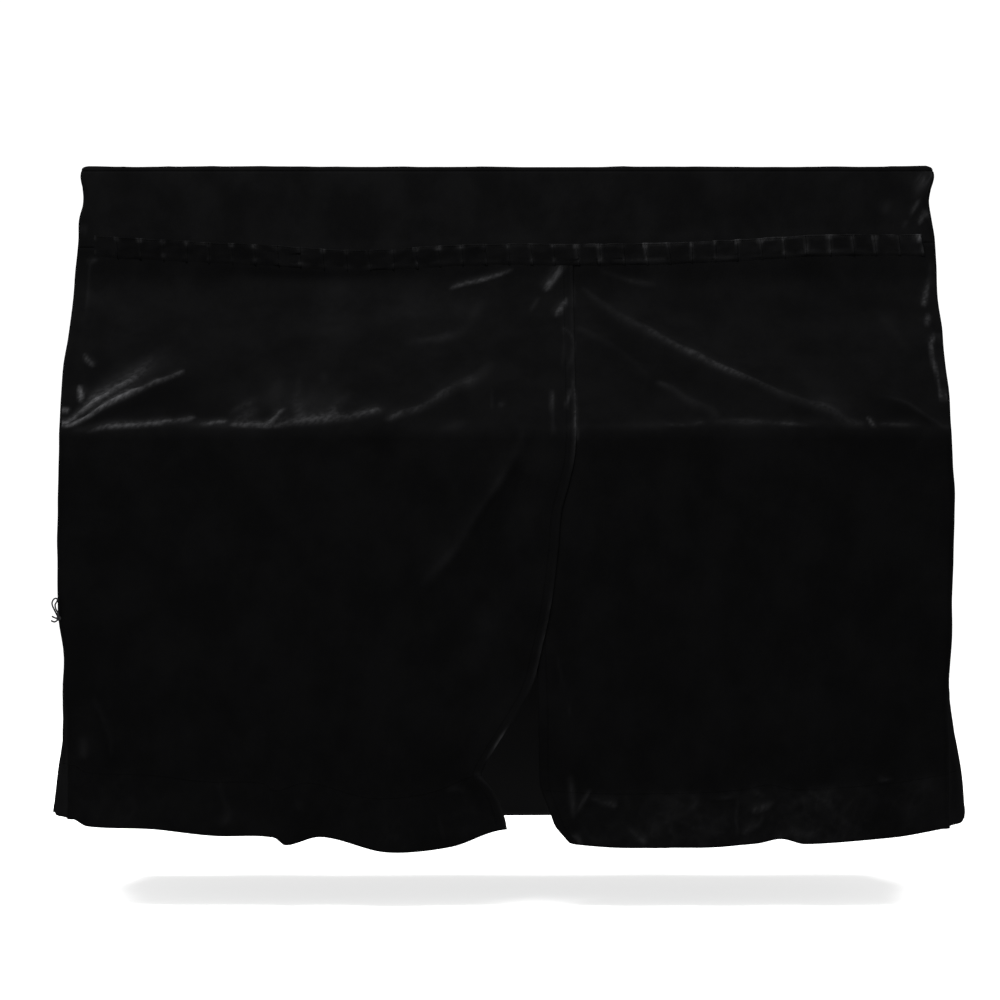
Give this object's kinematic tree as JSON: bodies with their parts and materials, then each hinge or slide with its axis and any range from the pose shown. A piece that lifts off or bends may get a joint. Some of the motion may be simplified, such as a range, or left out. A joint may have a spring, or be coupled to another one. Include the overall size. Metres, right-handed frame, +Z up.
{
  "type": "piano cover",
  "caption": "Full-length fitted velvet cover for an upright piano: flat top, front valance with a pleated heading band, and curtains that lap over the pedals.",
  "frame": {"origin": "under the middle of the top panel, where the piano's lid carries the cover", "axes": "+Z up, +X to the right seen from the front, the front with its curtains faces -Y"},
  "size_m": [1.6476, 0.6506, 1.2009],
  "materials": {
    "velvet": "black crushed velvet with a short silky pile",
    "pleated_velvet": "black velvet ribbon, flat lapped pleats stitched along both edges",
    "tie_cord": "black braided cord with frayed ends"
  },
  "bodies": {
    "root": {"top_panel": "velvet", "valance": "velvet", "front_left": "velvet", "front_right": "velvet", "side_left": "velvet", "side_right": "velvet", "back_panel": "velvet", "heading_band": "pleated_velvet", "side_tie": "tie_cord"}
  },
  "joints": []
}
